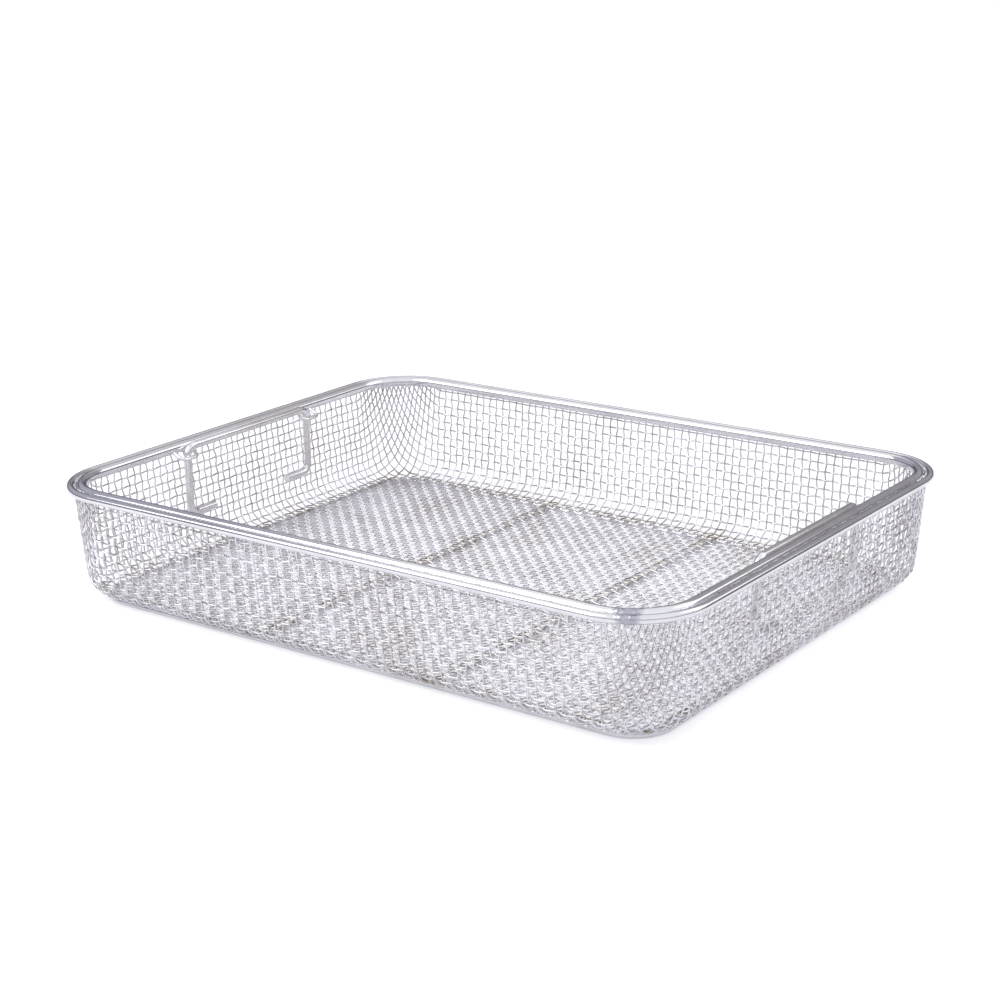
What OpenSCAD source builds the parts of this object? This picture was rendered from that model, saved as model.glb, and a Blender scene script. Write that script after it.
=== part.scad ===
// Wire mesh instrument basket with a twin-rod rim, a base frame and two stowing handles.
// X runs along the basket, Y across it, Z up; the origin is under the middle of the base.

/* [Basket] */
// Length of the mesh wall at the rim, to the middle of the wall
rim_l = 385; // [300:1:480]
// Width of the mesh wall at the rim, to the middle of the wall
rim_w = 297; // [240:1:360]
// Plan radius of the corners at the rim
rim_r = 36; // [32:1:42]
// Height of the rim rods' centres over the surface it stands on
rim_z = 64.5; // [58:0.5:80]
// Lean of the walls, from upright
wall_lean = 4.85; // [3:0.05:6]
// Radius where the walls turn into the floor
foot_r = 12; // [10:0.5:13]

/* [Mesh] */
// Thickness of the mesh web
web_t = 1.2; // [1:0.1:1.6]
// Width of the web left between two gaps
web_w = 5; // [4:0.5:7]
// Diameter of the ridges that stand for the wires
ridge_d = 1.2; // [1:0.1:1.3]
// Height of the middle of each ridge off the middle of the web
ridge_rise = 0.65; // [0.65:0.01:0.7]
// Number of gaps along the floor
gaps_l = 8; // [6:1:8]
// Number of gaps across the floor
gaps_w = 6; // [4:1:6]
// Height of the web that parts the two rows of gaps in the walls
belt_z = 33; // [28:1:38]

/* [Rim] */
// Diameter of the rod inside the mesh edge
inner_d = 6; // [5:0.1:7]
// Diameter of the rod outside the mesh edge
outer_d = 4.5; // [4:0.1:6]
// Depth that the mesh edge is pressed into each rod by the weld
rim_bite = 0.15; // [0.1:0.05:0.3]

/* [Base frame] */
// Diameter of the base ring and of the floor bars
base_d = 3; // [2.5:0.1:4]
// Distance of the base ring in from the rim's outline
base_inset = 15.5; // [13:0.5:18]
// Distance of each floor bar from the middle
bar_x = 57.5; // [40:0.5:80]

/* [Handles] */
// Diameter of the handle rod
handle_d = 4.5; // [4:0.1:5]
// Distance between the middles of a handle's legs
handle_w = 102.5; // [80:0.5:130]
// Radius of the grip's bends, to the middle of the rod
grip_r = 6; // [5:0.5:7]
// Height of the grip's middle, when the handle is down
grip_z = 65; // [62:0.5:66]
// Height of the feet's middle, when the handle is down
foot_z = 25.7; // [22:0.1:30]
// Length of each foot, from the middle of its leg
foot_l = 20; // [14:0.5:26]
// Radius of the feet's bends, to the middle of the rod
heel_r = 5; // [4:0.5:6]
// Gap between the handle and the rim's inner rod
handle_gap = 0.5; // [0.4:0.1:0.8]
// How far the right handle sits off the middle, towards the back
handle_off = 6; // [0:1:10]

/* [Eyes] */
// Diameter of the eyes' wire
eye_d = 2.2; // [1.8:0.1:2.4]
// Distance from the leg out to the arm that is welded to the rim
eye_root = 7.4; // [6:0.1:9]
// Distance from the leg in to the arm that turns back past it
eye_turn = 5.4; // [4.8:0.1:6]
// Length of the turned-back end, beyond its bend
eye_tail = 2.4; // [1:0.1:3]
// Radius of an eye's bends, to the middle of the wire
eye_r = 3.2; // [2.5:0.1:4]
// Slope of an eye, down from the rim
eye_slope = 25; // [20:1:30]
// Gap between an eye and the rod that slides in it
eye_gap = 0.6; // [0.4:0.1:0.8]

/* [Hidden] */

far = 60;                                     // reach of the tools that cut the gaps
floor_z = base_d + ridge_d / 2 + ridge_rise - 0.1;   // middle of the floor's web
straight_x = rim_l / 2 - rim_r;               // centre of a corner
straight_y = rim_w / 2 - rim_r;
pitch_x = 2 * straight_x / gaps_l;            // spacing of the floor's gaps
pitch_y = 2 * straight_y / gaps_w;
edge_z = rim_z - 6;                           // where the wall turns upright, under the rods
edge_top = rim_z + 2;                         // the mesh's edge, down in the groove
foot_c = rim_r - foot_r * cos(wall_lean)
    - (edge_z - floor_z - foot_r + foot_r * sin(wall_lean)) * tan(wall_lean);
foot_cz = floor_z + foot_r;                   // centre of the foot's curve, over the floor
lean_r = foot_c + foot_r * cos(wall_lean);    // where the foot's curve meets the wall
lean_z = foot_cz - foot_r * sin(wall_lean);
ridge_start = 2;                              // where the walls' ridges start, over the foot's curve
row_top = edge_z - 1.5;                       // top of the upper row of gaps
rod_gap = web_t - 2 * rim_bite;               // clear distance between the rim's rods
inner_r = rim_r - rod_gap / 2 - inner_d / 2;  // plan radii of the rods at a corner
outer_r = rim_r + rod_gap / 2 + outer_d / 2;
rod_x = rim_l / 2 - rod_gap / 2 - inner_d / 2;  // middle of the inner rod at the ends
leg_x = rod_x - inner_d / 2 - handle_gap - handle_d / 2;
eye_front = leg_x - handle_d / 2 - eye_gap - eye_d / 2;
eye_z = grip_z - handle_d / 2 - 0.3 - eye_d / (2 * cos(eye_slope));

// Radius of the wall's middle at height z, about the centre of a corner
function wall_r(z) = lean_r + (z - lean_z) * tan(wall_lean);

// One straight length of a profile (x outwards, y up), centred, running along Y at the +X side
module run(half) {
    translate([0, half, 0]) rotate([90, 0, 0]) linear_extrude(2 * half) children();
}

// A quarter turn of a profile about the centre of a corner
module turn() {
    rotate_extrude(angle = 90, $fn = 32) children();
}

// A profile taken once round the basket's rounded plan
module round_plan() {
    for (a = [0, 180]) rotate(a) {
        translate([straight_x, 0, 0]) run(straight_y) children();
        translate([0, straight_y, 0]) rotate(90) run(straight_x) children();
        translate([straight_x, straight_y, 0]) turn() children();
        translate([-straight_x, straight_y, 0]) rotate(90) turn() children();
    }
}

// All that lies inside one face of the web, t out from its middle: floor, curve, wall and edge
module inside_face(t, left, top) {
    s = t * sin(wall_lean);
    c = t * cos(wall_lean);
    translate([foot_c, foot_cz]) circle(foot_r + t, $fn = 24);
    polygon([[left, floor_z - t], [foot_c, floor_z - t], [foot_c, foot_cz],
        [lean_r + c, lean_z - s], [rim_r + t, edge_z], [rim_r + t, top], [left, top]]);
}

// Section of the web outside the flat floor: foot curve, leaning wall, upright edge
module wall_section() {
    difference() {
        inside_face(web_t / 2, 0, edge_top);
        inside_face(-web_t / 2, -1, edge_top + 1);
        translate([-far, -far]) square([far + foot_c, 3 * far]);
    }
}

// A ridge up the leaning wall, clear of the foot's curve; face = 1 on the outer side, -1 inside
module wall_ridge(face) {
    translate([lean_r, 0, lean_z]) rotate([0, wall_lean, 0])
        translate([face * ridge_rise, 0, ridge_start])
            cylinder(d = ridge_d, h = (edge_z - lean_z) / cos(wall_lean) - ridge_start, $fn = 14);
}

// Ridges over the floor along X, and under it along Y
module floor_ridges() {
    for (j = [1 : gaps_w - 1])
        translate([-straight_x - foot_c, -straight_y + j * pitch_y, floor_z + ridge_rise])
            rotate([0, 90, 0]) cylinder(d = ridge_d, h = 2 * (straight_x + foot_c), $fn = 14);
    for (i = [1 : gaps_l - 1])
        translate([-straight_x + i * pitch_x, straight_y + foot_c, floor_z - ridge_rise])
            rotate([90, 0, 0]) cylinder(d = ridge_d, h = 2 * (straight_y + foot_c), $fn = 14);
}

// Gaps through the floor, one to each mesh of the grid
module floor_gaps() {
    for (i = [0 : gaps_l - 1], j = [0 : gaps_w - 1])
        translate([-straight_x + (i + 0.5) * pitch_x, -straight_y + (j + 0.5) * pitch_y, floor_z])
            cube([pitch_x - web_w, pitch_y - web_w, 4 * web_t], center = true);
}

// One row of gaps through a straight side, drawn at the +X side, from height low to high
module side_gaps(half, count, low, high) {
    pitch = 2 * half / count;
    for (i = [0 : count - 1])
        translate([web_w / 2, -half + i * pitch + web_w / 2, low])
            cube([far, pitch - web_w, high - low]);
}

// One row of gaps through a corner, two wedges about the corner's centre
module corner_gaps(low, high) {
    for (a = [22.5, 67.5])
        rotate(a) translate([web_w / 2 / sin(22.5), 0, low]) linear_extrude(high - low)
            polygon([[0, 0], [far, -far * tan(22.5)], [far, far * tan(22.5)]]);
}

// The flat floor of the mesh, out to where the foot's curve begins on every side
module mesh_floor() {
    color([0.78, 0.79, 0.82]) difference() {
        union() {
            translate([0, 0, floor_z]) {
                cube([2 * (straight_x + foot_c), 2 * straight_y, web_t], center = true);
                cube([2 * straight_x, 2 * (straight_y + foot_c), web_t], center = true);
                for (x = [-straight_x, straight_x], y = [-straight_y, straight_y])
                    translate([x, y, 0]) cylinder(r = foot_c, h = web_t, center = true, $fn = 32);
            }
            floor_ridges();
        }
        floor_gaps();
        for (a = [0, 180]) rotate(a) {
            translate([straight_x, 0, 0]) side_gaps(straight_y, gaps_w, -1, foot_r);
            translate([0, straight_y, 0]) rotate(90) side_gaps(straight_x, gaps_l, -1, foot_r);
            translate([straight_x, straight_y, 0]) corner_gaps(-1, foot_r);
            translate([-straight_x, straight_y, 0]) rotate(90) corner_gaps(-1, foot_r);
        }
    }
}

// A straight side of the mesh from the floor's edge up to the rim, drawn at the +X side:
// upright ridges on one face (1 outside, -1 inside) and the belt's ridge on the other
module mesh_side(half, count, face) {
    color([0.78, 0.79, 0.82]) difference() {
        union() {
            run(half) wall_section();
            for (i = [1 : count - 1])
                translate([0, -half + i * 2 * half / count, 0]) wall_ridge(face);
            run(half) translate([wall_r(belt_z) - face * ridge_rise, belt_z])
                circle(d = ridge_d, $fn = 14);
        }
        side_gaps(half, count, -1, belt_z - web_w / 2);
        side_gaps(half, count, belt_z + web_w / 2, row_top);
    }
}

// A corner of the mesh, a quarter turn about the corner's centre
module mesh_corner() {
    color([0.78, 0.79, 0.82]) difference() {
        turn() wall_section();
        corner_gaps(-1, belt_z - web_w / 2);
        corner_gaps(belt_z + web_w / 2, row_top);
    }
}

module mesh_side_front() {
    translate([0, -straight_y, 0]) rotate(-90) mesh_side(straight_x, gaps_l, 1);
}

module mesh_side_back() {
    translate([0, straight_y, 0]) rotate(90) mesh_side(straight_x, gaps_l, 1);
}

module mesh_end_left() {
    translate([-straight_x, 0, 0]) rotate(180) mesh_side(straight_y, gaps_w, -1);
}

module mesh_end_right() {
    translate([straight_x, 0, 0]) mesh_side(straight_y, gaps_w, -1);
}

module mesh_corner_front_left() {
    translate([-straight_x, -straight_y, 0]) rotate(180) mesh_corner();
}

module mesh_corner_front_right() {
    translate([straight_x, -straight_y, 0]) rotate(-90) mesh_corner();
}

module mesh_corner_back_left() {
    translate([-straight_x, straight_y, 0]) rotate(90) mesh_corner();
}

module mesh_corner_back_right() {
    translate([straight_x, straight_y, 0]) mesh_corner();
}

// A rod bent to the basket's plan, at plan radius r at its corners
module ring_rod(r, z, d) {
    round_plan() translate([r, z]) circle(d = d, $fn = 16);
}

module rim_inner_rod() {
    color([0.86, 0.87, 0.89]) ring_rod(inner_r, rim_z, inner_d);
}

module rim_outer_rod() {
    color([0.86, 0.87, 0.89]) ring_rod(outer_r, rim_z, outer_d);
}

module base_ring() {
    color([0.7, 0.71, 0.74]) ring_rod(rim_r - base_inset, base_d / 2, base_d);
}

// A bar under the floor, its ends coped to the base ring that they are welded to
module floor_bar(side) {
    ring_y = rim_w / 2 - base_inset;
    color([0.7, 0.71, 0.74]) difference() {
        translate([side * bar_x, ring_y, base_d / 2]) rotate([90, 0, 0])
            cylinder(d = base_d - 0.2, h = 2 * ring_y, $fn = 16);
        for (end = [-1, 1])
            translate([side * bar_x - 5, end * ring_y, base_d / 2]) rotate([0, 90, 0])
                cylinder(d = base_d - 0.2, h = 10, $fn = 16);
    }
}

// A quarter bend of rod in the XZ plane: from straight down at x = r to along x at z = -r
module bend(r, d) {
    rotate([90, 0, 0]) rotate_extrude(angle = 90, $fn = 20) translate([r, 0]) circle(d = d, $fn = 16);
}

// A straight rod from point a to point b
module rod(a, b, d) {
    v = b - a;
    translate(a) rotate([0, acos(v[2] / norm(v)), atan2(v[1], v[0])])
        cylinder(d = d, h = norm(v), $fn = 16);
}

// A handle, drawn at the +X end: the grip, two legs, and a foot turned in under each
module handle() {
    half = handle_w / 2;
    color([0.84, 0.85, 0.87]) translate([leg_x, 0, 0]) {
        rod([0, -half + grip_r, grip_z], [0, half - grip_r, grip_z], handle_d);
        for (m = [0, 1]) mirror([0, m, 0]) {
            translate([0, half - grip_r, grip_z - grip_r]) rotate(90) bend(grip_r, handle_d);
            rod([0, half, foot_z + heel_r], [0, half, grip_z - grip_r], handle_d);
            translate([0, half - heel_r, foot_z + heel_r]) rotate(90) mirror([0, 0, 1])
                bend(heel_r, handle_d);
            rod([0, half - foot_l, foot_z], [0, half - heel_r, foot_z], handle_d);
        }
    }
}

module handle_left() {
    mirror([1, 0, 0]) handle();
}

module handle_right() {
    translate([0, handle_off, 0]) handle();
}

// An eye, drawn at the +X end round a leg at y, its welded arm on the side out = 1 or -1:
// a wire that slopes in from the rim's rod, crosses in front of the leg and hooks back past it
module eye(y, out) {
    reach = (rod_x - leg_x) / cos(eye_slope);
    front = (leg_x - eye_front) / cos(eye_slope);
    color([0.84, 0.85, 0.87]) difference() {
        translate([leg_x, y, eye_z]) rotate([0, -eye_slope, 0]) mirror([0, out < 0 ? 1 : 0, 0]) {
            rod([-front, -eye_turn + eye_r, 0], [-front, eye_root - eye_r, 0], eye_d);
            translate([-front + eye_r, eye_root - eye_r, 0]) rotate(90)
                rotate_extrude(angle = 90, $fn = 16) translate([eye_r, 0]) circle(d = eye_d, $fn = 16);
            translate([-front + eye_r, -eye_turn + eye_r, 0]) rotate(180)
                rotate_extrude(angle = 90, $fn = 16) translate([eye_r, 0]) circle(d = eye_d, $fn = 16);
            rod([-front + eye_r, eye_root, 0], [reach, eye_root, 0], eye_d);
            rod([-front + eye_r, -eye_turn, 0], [-front + eye_r + eye_tail, -eye_turn, 0], eye_d);
        }
        translate([rod_x, y + out * eye_root - 3, rim_z]) rotate([-90, 0, 0])
            cylinder(d = inner_d - 0.2, h = 6, $fn = 16);
    }
}

module eye_left_front() {
    mirror([1, 0, 0]) eye(-handle_w / 2, -1);
}

module eye_left_back() {
    mirror([1, 0, 0]) eye(handle_w / 2, 1);
}

module eye_right_front() {
    eye(handle_off - handle_w / 2, -1);
}

module eye_right_back() {
    eye(handle_off + handle_w / 2, 1);
}

mesh_floor();
mesh_side_front();
mesh_side_back();
mesh_end_left();
mesh_end_right();
mesh_corner_front_left();
mesh_corner_front_right();
mesh_corner_back_left();
mesh_corner_back_right();
rim_inner_rod();
rim_outer_rod();
base_ring();
floor_bar(-1);  // floor_bar_left
floor_bar(1);  // floor_bar_right
handle_left();
handle_right();
eye_left_front();
eye_left_back();
eye_right_front();
eye_right_back();
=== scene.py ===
import math

import bpy
import numpy as np
from mathutils import Matrix, Vector


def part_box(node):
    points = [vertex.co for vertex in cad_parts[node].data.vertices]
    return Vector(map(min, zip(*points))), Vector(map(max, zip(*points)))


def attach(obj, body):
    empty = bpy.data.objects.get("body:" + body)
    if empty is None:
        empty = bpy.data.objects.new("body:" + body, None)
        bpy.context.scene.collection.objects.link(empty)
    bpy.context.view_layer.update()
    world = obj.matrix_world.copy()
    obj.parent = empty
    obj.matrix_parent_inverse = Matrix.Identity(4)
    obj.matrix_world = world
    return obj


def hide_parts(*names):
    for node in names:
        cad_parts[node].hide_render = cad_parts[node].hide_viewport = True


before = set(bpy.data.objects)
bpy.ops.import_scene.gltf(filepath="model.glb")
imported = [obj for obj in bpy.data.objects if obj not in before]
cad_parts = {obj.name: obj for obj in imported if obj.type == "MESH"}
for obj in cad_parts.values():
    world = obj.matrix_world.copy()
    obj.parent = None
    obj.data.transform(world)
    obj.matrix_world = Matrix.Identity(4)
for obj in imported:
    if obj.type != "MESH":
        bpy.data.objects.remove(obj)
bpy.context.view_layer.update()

# ---------------------------------------------------------------------------
# The set: a white table top in a painted room, two soft lamps and a long-lens camera.
# Nothing here is part of the basket.
scene = bpy.context.scene
scene.view_settings.view_transform = "Standard"


class Shade:
    """One socket of a material, so that shader maths reads as maths."""

    def __init__(self, tree, socket):
        self.tree, self.socket = tree, socket

    @classmethod
    def node(cls, tree, kind, settings=(), inputs=(), out=0):
        made = tree.nodes.new(kind)
        for name, value in dict(settings).items():
            if name == "stops":
                ramp = made.color_ramp
                while len(ramp.elements) < len(value):
                    ramp.elements.new(0.5)
                for element, (place, colour) in zip(ramp.elements, value):
                    element.position, element.color = place, (*colour, 1)
            else:
                setattr(made, name, value)
        for name, value in dict(inputs).items():
            if isinstance(value, Shade):
                tree.links.new(value.socket, made.inputs[name])
            else:
                made.inputs[name].default_value = value
        return cls(tree, made.outputs[out]) if len(made.outputs) else made

    def maths(self, operation, other=0.0, swapped=False):
        first, second = (other, self) if swapped else (self, other)
        return Shade.node(
            self.tree, "ShaderNodeMath", {"operation": operation}, {0: first, 1: second}
        )

    def __add__(self, other):
        return self.maths("ADD", other)

    __radd__ = __add__

    def __mul__(self, other):
        return self.maths("MULTIPLY", other)

    __rmul__ = __mul__

    def __sub__(self, other):
        return self.maths("SUBTRACT", other)

    def __rsub__(self, other):
        return self.maths("SUBTRACT", other, swapped=True)


def graded(tree, factor, *stops):
    """A colour that follows a factor through these (place, colour) stops."""
    return Shade.node(tree, "ShaderNodeValToRGB", {"stops": stops}, {"Fac": factor})


def mixed(tree, factor, first, second, blend="MIX"):
    """The first colour turned towards the second by a factor."""
    return Shade.node(
        tree,
        "ShaderNodeMix",
        {"data_type": "RGBA", "blend_type": blend},
        {"Factor": factor, "A": first, "B": second},
        out=2,
    )


room = bpy.data.worlds.new("white_room")
scene.world = room
room.use_nodes = True
tree = room.node_tree
tree.nodes.clear()
direction = Shade.node(tree, "ShaderNodeTexCoord", out="Generated")
across, depth, height = (
    Shade.node(tree, "ShaderNodeSeparateXYZ", inputs={0: direction}, out=axis) for axis in "XYZ"
)
# The room's tone by height, dark just above the horizon. Then two grey walls, one at the far
# side of the room and one at its left.
walls = graded(
    tree,
    height,
    (0.0, (0.62, 0.63, 0.66)),
    (0.03, (0.16, 0.16, 0.19)),
    (0.13, (0.22, 0.22, 0.25)),
    (0.24, (0.78, 0.79, 0.85)),
    (0.60, (0.96, 0.96, 1.0)),
    (1.0, (0.87, 0.87, 0.91)),
)
far_lean, side_lean = 0.12, 0.08
far_wall = graded(
    tree,
    depth - height * far_lean,
    (0.0, (1.0, 1.0, 1.0)),
    (0.50, (1.0, 1.0, 1.0)),
    (0.66, (0.44, 0.42, 0.41)),
    (0.80, (0.34, 0.325, 0.32)),
    (1.0, (0.55, 0.54, 0.55)),
)
side_wall = graded(
    tree,
    across * -1.0 + (height - 0.5) * side_lean,
    (0.60, (1.0, 1.0, 1.0)),
    (0.66, (0.38, 0.38, 0.43)),
    (1.0, (0.55, 0.55, 0.6)),
)
for wall in (far_wall, side_wall):
    walls = mixed(tree, 1.0, walls, wall, "MULTIPLY")
seen = Shade.node(tree, "ShaderNodeLightPath", out="Is Camera Ray")
backdrop = mixed(tree, seen, walls, (1, 1, 1, 1))
glow = Shade.node(tree, "ShaderNodeBackground", inputs={"Color": backdrop, "Strength": 1.0})
Shade.node(tree, "ShaderNodeOutputWorld", inputs={"Surface": glow})

table_finish = bpy.data.materials.new("white_table")
table_finish.use_nodes = True
tree = table_finish.node_tree
tree.nodes.clear()
board = Shade.node(
    tree,
    "ShaderNodeBsdfPrincipled",
    inputs={"Base Color": (0.80, 0.80, 0.81, 1), "Roughness": 0.7, "Specular IOR Level": 0.2},
)
seen_lift, mirrored_lift = 0.44, 0.17
seen = Shade.node(tree, "ShaderNodeLightPath", out="Is Camera Ray")
mirrored = Shade.node(tree, "ShaderNodeLightPath", out="Is Glossy Ray")
lift = Shade.node(
    tree,
    "ShaderNodeEmission",
    inputs={
        "Color": (0.98, 0.98, 1.0, 1),
        "Strength": seen * seen_lift + mirrored * mirrored_lift,
    },
)
lifted = Shade.node(tree, "ShaderNodeAddShader", inputs={0: board, 1: lift})
Shade.node(tree, "ShaderNodeOutputMaterial", inputs={"Surface": lifted})

edge = 6
table = bpy.data.meshes.new("table_top")
table.from_pydata(
    [(-edge, -edge, 0), (edge, -edge, 0), (edge, edge, 0), (-edge, edge, 0)], [], [(0, 1, 2, 3)]
)
table.materials.append(table_finish)
table = bpy.data.objects.new("table_top", table)
scene.collection.objects.link(table)

for name, place, size, power, tint in (
    ("soft_key", (-0.75, -0.95, 1.25), 1.1, 9.0, (1.0, 0.99, 0.97)),
    ("soft_back", (0.9, 0.9, 1.1), 0.9, 3.0, (0.95, 0.97, 1.0)),
):
    lamp = bpy.data.lights.new(name, "AREA")
    lamp.shape, lamp.size, lamp.energy, lamp.color = "SQUARE", size, power, tint
    lamp = bpy.data.objects.new(name, lamp)
    lamp.matrix_world = (
        Matrix.Translation(place) @ Vector(place).to_track_quat("Z", "Y").to_matrix().to_4x4()
    )
    scene.collection.objects.link(lamp)

azimuth, elevation, roll = (math.radians(a) for a in (36.2048, 19.7814, -0.95395))
distance, focal, drop = 1.1347, 2.064, 0.089023
toward = Vector(
    (
        math.sin(azimuth) * math.cos(elevation),
        -math.cos(azimuth) * math.cos(elevation),
        math.sin(elevation),
    )
)
right = Vector((math.cos(azimuth), math.sin(azimuth), 0))
stand = Matrix((right, toward.cross(right), toward)).transposed()
aim = Vector((0, -drop, -focal)).normalized()
swing = Vector((0, 0, -1)).rotation_difference(aim).to_matrix().transposed()
lens = bpy.data.cameras.new("long_lens")
lens.sensor_width, lens.lens, lens.clip_end = 36, 36 * focal, 50
camera = bpy.data.objects.new("camera", lens)
camera.matrix_world = (
    Matrix.Translation(toward * distance)
    @ (stand @ swing @ Matrix.Rotation(roll, 3, "Z")).to_4x4()
)
scene.collection.objects.link(camera)
scene.camera = camera

# ---------------------------------------------------------------------------
# The body: one sheet of plain-woven stainless wire, drawn 0.96 mm thick at 5 mm pitch, pressed
# over a former without a cut, so that its square meshes shear into diamonds round the corners,
# then electropolished. Sizes here and below are in mm.
MM = 0.001
pitch, wire_radius, crimp, slack = 5.0, 0.48, 0.48, 0.11
corner_x, corner_y, corner_r = 156.5, 112.5, 36.0
foot_r, lean, floor_level = 12.0, math.radians(4.85), 4.15
upright_from, mesh_top, sheet_top, spare = 58.5, 65.8, 66.5, 24.0
woven_nodes = [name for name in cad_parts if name.startswith("mesh_")]

foot_turn = math.pi / 2 - lean
foot_start = (
    corner_r
    - foot_r * math.cos(lean)
    - (upright_from - floor_level - foot_r + foot_r * math.sin(lean)) * math.tan(lean)
)
foot_height = floor_level + foot_r
wall_start = foot_start + foot_r * math.cos(lean)
wall_foot = foot_height - foot_r * math.sin(lean)
foot_length = foot_r * foot_turn
tiny, least_drop = 1e-9, 1e-6


def inward(points):
    """The way that the inner face of the sheet looks at each point."""
    out = np.maximum(points[..., :2] - (corner_x, corner_y), 0)
    reach = np.hypot(out[..., 0], out[..., 1])
    up = (reach - wall_start) * math.sin(lean) + (points[..., 2] - wall_foot) * math.cos(lean)
    below_middle = np.maximum(foot_height - points[..., 2], least_drop)
    turn = np.where(reach > foot_start, np.arctan2(reach - foot_start, below_middle), 0)
    turn = np.where(up > 0, foot_turn, turn)[..., None]
    radial = out / np.maximum(reach, tiny)[..., None]
    return np.concatenate([-radial * np.sin(turn), np.cos(turn)], -1)


def up_the_profile(along):
    """How far out from a corner's middle, and how high, this far along the sheet."""
    turn = np.clip((along - foot_start) / foot_r, 0, foot_turn)
    wall = np.maximum(along - foot_start - foot_length, 0)
    out = np.minimum(along, foot_start) + foot_r * np.sin(turn) + wall * math.sin(lean)
    return out, floor_level + foot_r * (1 - np.cos(turn)) + wall * math.cos(lean)


def closed_up(rank, begins=5, takes=7):
    """How far the trellis has closed up, 0 to 1, this many wires out round a corner."""
    share = np.clip((rank - begins) / takes, 0, 1)
    return share * share * (3 - 2 * share)


def fold_sheet(last_rank=60, rank_step=0.05):
    """A quarter of the sheet on the former: square meshes on the floor and up the straight
    walls, and round the corner a trellis of the same wires that closes up as it rises."""
    reach = foot_start + foot_length + (sheet_top - wall_foot) / math.cos(lean) + spare
    count_x, count_y = (int((corner + reach) / pitch) + 1 for corner in (corner_x, corner_y))
    u, v = np.meshgrid(np.arange(count_x) * pitch, np.arange(count_y) * pitch, indexing="ij")
    past_x, past_y = np.maximum(u - corner_x, 0) / pitch, np.maximum(v - corner_y, 0) / pitch
    rank = past_x + past_y
    # Up the corner's middle each mesh stays a rhombus with sides of one pitch, so the wider
    # it is drawn round the corner, the less it climbs.
    ranks, middle = np.arange(0, last_rank, rank_step), [0.0]
    for at in ranks[1:] - rank_step / 2:
        out = float(up_the_profile(middle[-1])[0])
        fan = 2 - (2 - math.pi / 2) * float(closed_up(at))
        half_gap = min(out * fan / at / 2, pitch / math.sqrt(2))
        middle.append(middle[-1] + rank_step * math.sqrt(pitch * pitch - half_gap * half_gap))
    share = past_x / np.maximum(rank, tiny)
    bow = (1 - np.sqrt(1 - 2 * share * (1 - share))) / (1 - math.sqrt(0.5))
    along = pitch * rank - (pitch * rank - np.interp(rank, ranks, middle)) * bow
    shut = closed_up(rank)
    round_it = np.arctan2(past_y, past_x) * (1 - shut)
    round_it += shut * math.pi / 2 * past_y / np.maximum(rank, tiny)
    out, up = up_the_profile(along)
    place = np.stack(
        [
            np.minimum(u, corner_x) + out * np.cos(round_it) * (past_x > 0),
            np.minimum(v, corner_y) + out * np.sin(round_it) * (past_y > 0),
            up,
        ],
        -1,
    )
    return place, along <= reach - pitch


quarter, on_sheet = fold_sheet()
count_x, count_y = on_sheet.shape
step_x, step_y = np.arange(-count_x + 1, count_x), np.arange(-count_y + 1, count_y)


def mirrored_whole(values):
    """A quarter's points or directions at every crossing, mirrored across both middles."""
    whole = values[np.abs(step_x)][:, np.abs(step_y)]
    whole[..., 0] *= np.where(step_x < 0, -1, 1)[:, None]
    whole[..., 1] *= np.where(step_y < 0, -1, 1)[None, :]
    return whole


crossing, facing = mirrored_whole(quarter), mirrored_whole(inward(quarter))
usable = on_sheet[np.abs(step_x)][:, np.abs(step_y)] & (crossing[..., 2] < mesh_top)
above = np.where(np.add.outer(step_x, step_y) % 2 == 0, 1.0, -1.0)
wobble = np.random.default_rng(11).normal(0, slack, crossing.shape)
crossing = crossing + wobble - facing * (wobble * facing).sum(-1, keepdims=True)


def rim_end(points, faces, over, kept, lost, shortest=0.15, longest=0.98):
    """A wire's cut end at the rim, as a run of one or none, between the last crossing that is
    kept and the lost one above it."""
    low, high = points[kept], points[lost]
    if not high[2] >= mesh_top > low[2]:
        return []
    share = min((mesh_top - low[2]) / (high[2] - low[2]), longest)
    if share <= shortest:
        return []
    return [(low + (high - low) * share, faces[kept], over[kept] * (1 - 2 * share))]


def wire_runs(points, faces, over, keep):
    """One row of crossings cut into the wires that lie under the rim, each end cut at the rim."""
    runs, current = [], None
    for k in range(len(points)):
        if keep[k]:
            if current is None:
                current = rim_end(points, faces, over, k, k - 1) if k else []
            current.append((points[k], faces[k], over[k]))
        elif current is not None:
            runs.append(current + rim_end(points, faces, over, k - 1, k))
            current = None
    if current is not None:
        runs.append(current)
    return [run for run in runs if len(run) > 1]


def path_object(name, runs, closed=False):
    """Loose edges along each run of (point in mm, facing, over), for the wire tree to sweep."""
    points, edges, faces, over = [], [], [], []
    for run in runs:
        first = len(points)
        for point, face, side in run:
            points.append([c * MM for c in point])
            faces.append(face)
            over.append(side)
        edges += [(k, k + 1) for k in range(first, len(points) - 1)]
        if closed:
            edges.append((len(points) - 1, first))
    mesh = bpy.data.meshes.new(name)
    mesh.from_pydata(points, edges, [])
    mesh.attributes.new("facing", "FLOAT_VECTOR", "POINT").data.foreach_set(
        "vector", np.array(faces, dtype=np.float32).ravel()
    )
    mesh.attributes.new("over", "FLOAT", "POINT").data.foreach_set(
        "value", np.array(over, dtype=np.float32)
    )
    made = bpy.data.objects.new(name, mesh)
    scene.collection.objects.link(made)
    return made


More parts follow.
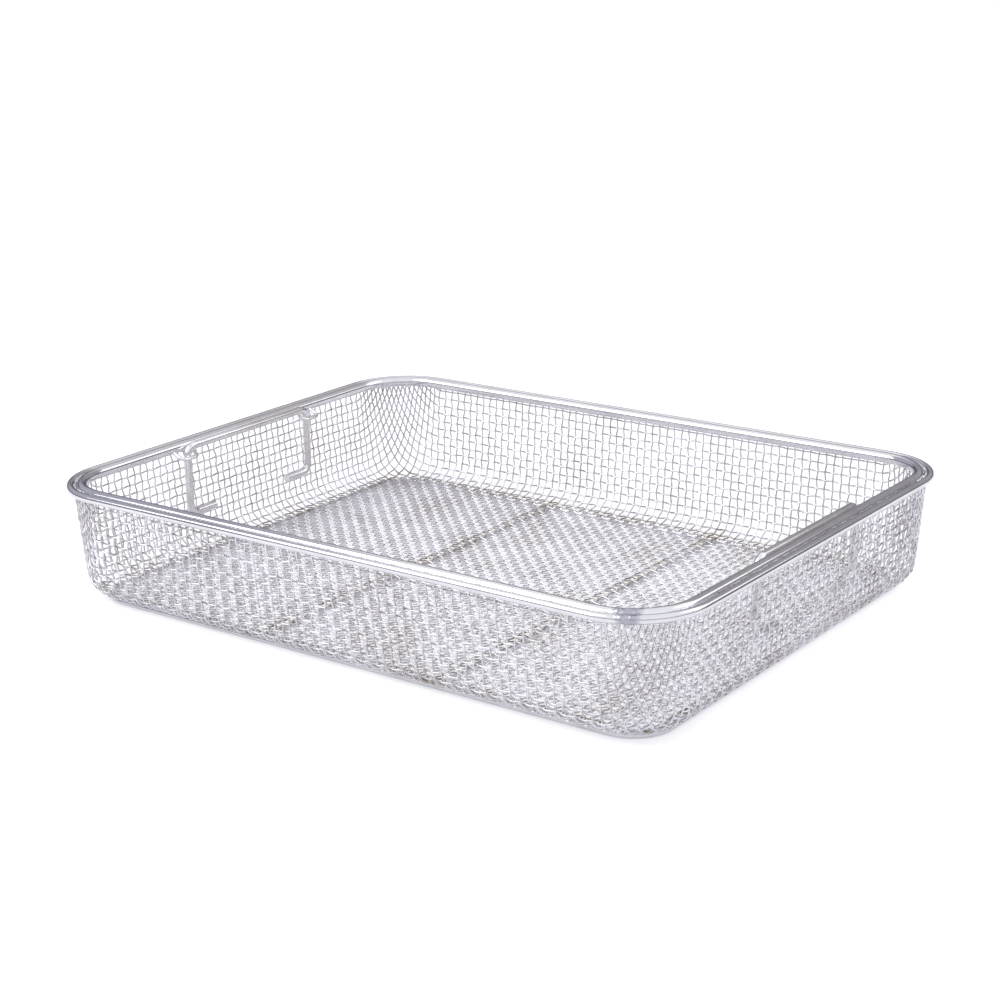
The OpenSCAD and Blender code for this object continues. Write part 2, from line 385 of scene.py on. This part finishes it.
def wire_tree():
    """Sweeps a round wire along every edge path, crimped over and under by the over attribute."""
    group = bpy.data.node_groups.new("wire_along_paths", "GeometryNodeTree")
    face = group.interface
    face.new_socket("Paths", in_out="INPUT", socket_type="NodeSocketGeometry")
    for name, kind, value in (
        ("Wire radius", "NodeSocketFloat", 0.0005),
        ("Crimp", "NodeSocketFloat", 0.0),
        ("Sides", "NodeSocketInt", 6),
        ("Steps", "NodeSocketInt", 3),
        ("Finish", "NodeSocketMaterial", None),
    ):
        socket = face.new_socket(name, in_out="INPUT", socket_type=kind)
        if value is not None:
            socket.default_value = value
    face.new_socket("Wire", in_out="OUTPUT", socket_type="NodeSocketGeometry")

    def node(kind, settings=(), **inputs):
        made = group.nodes.new(kind)
        for key, value in dict(settings).items():
            setattr(made, key, value)
        for key, value in inputs.items():
            key = key.replace("_", " ")
            if isinstance(value, bpy.types.NodeSocket):
                group.links.new(value, made.inputs[key])
            else:
                made.inputs[key].default_value = value
        return made

    given = group.nodes.new("NodeGroupInput").outputs
    curve = node("GeometryNodeMeshToCurve", Mesh=given["Paths"])
    facing_at = node(
        "GeometryNodeInputNamedAttribute", {"data_type": "FLOAT_VECTOR"}, Name="facing"
    )
    over_at = node("GeometryNodeInputNamedAttribute", {"data_type": "FLOAT"}, Name="over")
    amount = node("ShaderNodeMath", {"operation": "MULTIPLY"})
    group.links.new(over_at.outputs["Attribute"], amount.inputs[0])
    group.links.new(given["Crimp"], amount.inputs[1])
    shift = node("ShaderNodeVectorMath", {"operation": "SCALE"})
    group.links.new(facing_at.outputs["Attribute"], shift.inputs[0])
    group.links.new(amount.outputs[0], shift.inputs["Scale"])
    woven = node(
        "GeometryNodeSetPosition", Geometry=curve.outputs["Curve"], Offset=shift.outputs[0]
    )
    soft = node(
        "GeometryNodeCurveSplineType", {"spline_type": "CATMULL_ROM"}, Curve=woven.outputs[0]
    )
    fine = node(
        "GeometryNodeSetSplineResolution", Geometry=soft.outputs[0], Resolution=given["Steps"]
    )
    ring = node(
        "GeometryNodeCurvePrimitiveCircle", Resolution=given["Sides"], Radius=given["Wire radius"]
    )
    swept = node(
        "GeometryNodeCurveToMesh",
        Curve=fine.outputs[0],
        Profile_Curve=ring.outputs["Curve"],
        Fill_Caps=True,
    )
    smooth = node("GeometryNodeSetShadeSmooth", Geometry=swept.outputs[0])
    real = node("GeometryNodeRealizeInstances", Geometry=smooth.outputs[0])
    dressed = node("GeometryNodeSetMaterial", Geometry=real.outputs[0], Material=given["Finish"])
    out = group.nodes.new("NodeGroupOutput")
    group.links.new(dressed.outputs[0], out.inputs[0])
    return group


along_paths = wire_tree()
sharp_from = math.radians(75)


def sweep(name, runs, radius, finish, closed=False, sides=24, steps=1, crimp=0.0):
    """The wires of these paths as one plain mesh piece."""
    paths = path_object(name + "_paths", runs, closed)
    swept = paths.modifiers.new("wire", "NODES")
    swept.node_group = along_paths
    values = {
        "Wire radius": radius * MM,
        "Crimp": crimp * MM,
        "Sides": sides,
        "Steps": steps,
        "Finish": finish,
    }
    for socket in along_paths.interface.items_tree:
        if socket.name in values:
            swept[socket.identifier] = values[socket.name]
    depsgraph = bpy.context.evaluated_depsgraph_get()
    mesh = bpy.data.meshes.new_from_object(paths.evaluated_get(depsgraph))
    mesh.name = name
    for extra in ("facing", "over"):
        if extra in mesh.attributes:
            mesh.attributes.remove(mesh.attributes[extra])
    mesh.set_sharp_from_angle(angle=sharp_from)
    made = bpy.data.objects.new(name, mesh)
    scene.collection.objects.link(made)
    bpy.data.objects.remove(paths)
    return made


# The brown darkening low down along welded-on rods: partly heat tint, partly painted shade where
# the mesh lies on them.
heat_and_shade_colour, heat_and_shade_most, heat_and_shade_core, heat_and_shade_reach, heat_and_shade_top = (0.34, 0.29, 0.22, 1), 0.8, 1.8, 2.6, 7
weld_colour, weld_most, weld_core = (0.46, 0.46, 0.53, 1), 0.9, 2.5


def metal(name, colour, stain, rough, streak, welds=(), heat_and_shade_lines=()):
    """Electropolished stainless: bright metal with faint stains, uneven gloss and a fine skin,
    a dull, rippled patch at each weld, given as (point, reach) in mm, and low down where rods
    are welded on a brown darkening, partly heat tint and partly painted shade, given as (axis,
    distance from the middle) in mm."""
    finish = bpy.data.materials.new(name)
    finish.use_nodes = True
    tree = finish.node_tree
    tree.nodes.clear()
    at = Shade.node(tree, "ShaderNodeTexCoord", out="Object")

    def noise(scale, detail, roughness):
        inputs = {"Vector": at, "Scale": scale, "Detail": detail, "Roughness": roughness}
        return Shade.node(tree, "ShaderNodeTexNoise", inputs=inputs)

    def along(axis):
        return Shade.node(tree, "ShaderNodeSeparateXYZ", inputs={0: at}, out=axis)

    cloud = noise(scale=38.0, detail=3.0, roughness=0.6)
    fleck = noise(scale=260.0, detail=2.0, roughness=0.55)
    patch = graded(tree, cloud * 0.7 + fleck * 0.3, (0.42, (0, 0, 0)), (0.68, (1, 1, 1)))
    colours = mixed(tree, patch, (*colour, 1), (*stain, 1))
    # Low down along the floor bars and the base ring the wire turns brown and darker: partly heat
    # tint, partly painted shade.
    if heat_and_shade_lines:
        heat_and_shade = 0.0
        for axis, place in heat_and_shade_lines:
            away = along(axis).maths("ABSOLUTE") - place * MM
            near = heat_and_shade_core - away.maths("ABSOLUTE") * (1 / (heat_and_shade_reach * MM))
            heat_and_shade = heat_and_shade + near.maths("MAXIMUM", 0.0)
        heat_and_shade = heat_and_shade * (0.35 + patch * 0.65) * along("Z").maths("LESS_THAN", heat_and_shade_top * MM)
        heat_and_shade = (heat_and_shade * heat_and_shade_most).maths("MINIMUM", heat_and_shade_most)
        colours = mixed(tree, heat_and_shade, colours, heat_and_shade_colour)
    skin = noise(scale=900.0, detail=2.0, roughness=0.6)
    bumps, bump_depth, dull = skin * 0.02, 0.0002, 0.0
    if welds:
        for point, reach in welds:
            away = Shade.node(
                tree,
                "ShaderNodeVectorMath",
                {"operation": "DISTANCE"},
                {0: at, 1: [c * MM for c in point]},
                out="Value",
            )
            near = weld_core - away * (weld_core / (reach * MM))
            dull = dull + near.maths("MAXIMUM", 0.0)
        dull = dull.maths("MINIMUM", 1.0)
        ripple = noise(scale=420.0, detail=1.0, roughness=0.5)
        colours = mixed(tree, dull * weld_most, colours, weld_colour)
        bumps, bump_depth = bumps * 0.2 + ripple * dull, 0.001
    dent = Shade.node(
        tree,
        "ShaderNodeBump",
        inputs={"Height": bumps, "Strength": 1.0, "Distance": bump_depth},
    )
    shader = Shade.node(
        tree,
        "ShaderNodeBsdfPrincipled",
        inputs={
            "Base Color": colours,
            "Metallic": 1.0,
            "Roughness": fleck * streak + (rough - streak / 2) + dull * 0.2,
            "Normal": dent,
        },
    )
    Shade.node(tree, "ShaderNodeOutputMaterial", inputs={"Surface": shader})
    return finish


# The brown lines low down along both floor bars and the base ring are partly heat tint and partly
# painted shade.
woven_finish = metal(
    "woven_wire",
    (0.86, 0.86, 0.90),
    (0.58, 0.545, 0.535),
    rough=0.19,
    streak=0.14,
    heat_and_shade_lines=(("X", 57.5), ("X", 176.5), ("Y", 132.5)),
)

for name, keep_rows, lengthwise in (
    ("lengthwise_wires_front", step_y < 0, True),
    ("lengthwise_wires_back", step_y >= 0, True),
    ("crosswise_wires_left", step_x < 0, False),
    ("crosswise_wires_right", step_x >= 0, False),
):
    runs = []
    for row in np.flatnonzero(keep_rows):
        pick = (slice(None), row) if lengthwise else (row, slice(None))
        over = above[pick] if lengthwise else -above[pick]
        runs += wire_runs(crossing[pick], facing[pick], over, usable[pick])
    wires = sweep(name, runs, wire_radius, woven_finish, sides=6, steps=3, crimp=crimp)
    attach(wires, "basket")
    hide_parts(*woven_nodes)

# ---------------------------------------------------------------------------
# The rim: a 6 mm rod inside and a 4.5 mm rod outside the sheet's cut edge, each bent to the
# basket's outline and butt welded to itself, then spot welded through the mesh and polished.
rod_finish = metal(
    "polished_rod",
    (0.89, 0.89, 0.92),
    (0.78, 0.77, 0.80),
    rough=0.13,
    streak=0.08,
    welds=[((171.8, -141.2, 64.5), 8.5), ((175.3, -146.3, 64.5), 6.5)],
)


def plain_run(points):
    """A run for sweep with no weave in it."""
    return [(tuple(point), (0, 0, 1), 0) for point in points]


def outline(half_x, half_y, radius, z, steps=14):
    """A closed rounded outline at one height, as a run for sweep."""
    points = []
    for corner, (end_x, end_y) in enumerate(((1, 1), (-1, 1), (-1, -1), (1, -1))):
        for k in range(steps + 1):
            angle = (corner + k / steps) * math.pi / 2
            x = end_x * (half_x - radius) + radius * math.cos(angle)
            y = end_y * (half_y - radius) + radius * math.sin(angle)
            points.append((x, y, z))
    return plain_run(points)


def ring_of(node, bend, name):
    """A ring of rod in the place of a CAD ring node, with corners bent to this radius."""
    low, high = (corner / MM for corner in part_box(node))
    radius = (high.z - low.z) / 2
    half_x, half_y = (high.x - low.x) / 2 - radius, (high.y - low.y) / 2 - radius
    run = outline(half_x, half_y, bend, (high.z + low.z) / 2)
    ring = sweep(name, [run], radius, rod_finish, closed=True, sides=28)
    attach(ring, "basket")
    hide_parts(node)


ring_of("rim_inner_rod", 32.55, "rim_rod_inside")
ring_of("rim_outer_rod", 38.7, "rim_rod_outside")

# ---------------------------------------------------------------------------
# The base: a ring of 3 mm rod under the edge of the floor, which the basket stands on, and
# two bars across the floor whose ends are welded to the ring.
ring_of("base_ring", 20.5, "base_rod_ring")
for node, name in (("floor_bar_left", "floor_rod_left"), ("floor_bar_right", "floor_rod_right")):
    low, high = (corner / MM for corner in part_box(node))
    x, radius = (low.x + high.x) / 2, (high.x - low.x) / 2
    run = plain_run((x, y, radius + low.z) for y in (low.y, high.y))
    bar = sweep(name, [run], radius, rod_finish, sides=20)
    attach(bar, "basket")
    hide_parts(node)

# ---------------------------------------------------------------------------
# The handles: 4.5 mm rod bent to a grip, two legs and a foot turned in under each leg. Each
# slides up through its two wire eyes until its feet come up against them.
handle_finish = metal(
    "handle_rod", (0.90, 0.89, 0.91), (0.74, 0.70, 0.70), rough=0.22, streak=0.10
)
handle_bend, foot_reach = 5.6, 20


def bent(corners, bend, steps=9):
    """A run through these corners, each rounded to this radius."""
    points = [np.array(corner, float) for corner in corners]
    path = [points[0]]
    for before, at, after in zip(points, points[1:], points[2:]):
        into, away = at - before, after - at
        into, away = into / np.linalg.norm(into), away / np.linalg.norm(away)
        half = math.acos(max(-1, min(1, float(into @ away)))) / 2
        cut = bend * math.tan(half)
        start = at - into * cut
        side = away - into * (into @ away)
        side /= np.linalg.norm(side)
        for k in range(steps + 1):
            turn = 2 * half * k / steps
            path.append(start + into * bend * math.sin(turn) + side * bend * (1 - math.cos(turn)))
    path.append(points[-1])
    return plain_run(path)


for node, body, name in (
    ("handle_left", "handle_left_body", "drop_handle_left"),
    ("handle_right", "handle_right_body", "drop_handle_right"),
):
    low, high = (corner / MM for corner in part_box(node))
    x, radius = (low.x + high.x) / 2, (high.x - low.x) / 2
    front, back = low.y + radius, high.y - radius
    foot, grip = low.z + radius, high.z - radius
    corners = [
        (x, front + foot_reach, foot),
        (x, front, foot),
        (x, front, grip),
        (x, back, grip),
        (x, back, foot),
        (x, back - foot_reach, foot),
    ]
    handle = sweep(name, [bent(corners, handle_bend)], radius, handle_finish, sides=28)
    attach(handle, body)
    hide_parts(node)

# ---------------------------------------------------------------------------
# The eyes: a hook of 2.2 mm wire round each handle leg, one arm welded to the inner rim rod,
# the other turned back past the leg with its end free.
eye_finish = metal("eye_wire", (0.93, 0.93, 0.95), (0.80, 0.78, 0.78), rough=0.2, streak=0.1)
eye_radius, eye_bend, eye_slope = 1.1, 3.2, math.radians(25)
leg_x, rod_middle, eye_level = 183.3, 189.05, 61.24
leg_to_front, short_of_rod = 3.95, 2.4
free_side, welded_side, free_length = -5.4, 7.4, 5.6
front = -leg_to_front / math.cos(eye_slope)
reach = (rod_middle - leg_x) / math.cos(eye_slope) - short_of_rod
flat = (
    (front + free_length, free_side),
    (front, free_side),
    (front, welded_side),
    (reach, welded_side),
)

for node, end, leg_y, out in (
    ("eye_left_front", -1, -51.25, -1),
    ("eye_left_back", -1, 51.25, 1),
    ("eye_right_front", 1, -45.25, -1),
    ("eye_right_back", 1, 57.25, 1),
):
    corners = [
        (
            end * (leg_x + u * math.cos(eye_slope)),
            leg_y + out * w,
            eye_level + u * math.sin(eye_slope),
        )
        for u, w in flat
    ]
    eye = sweep(node + "_hook", [bent(corners, eye_bend)], eye_radius, eye_finish, sides=16)
    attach(eye, "basket")
    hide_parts(node)
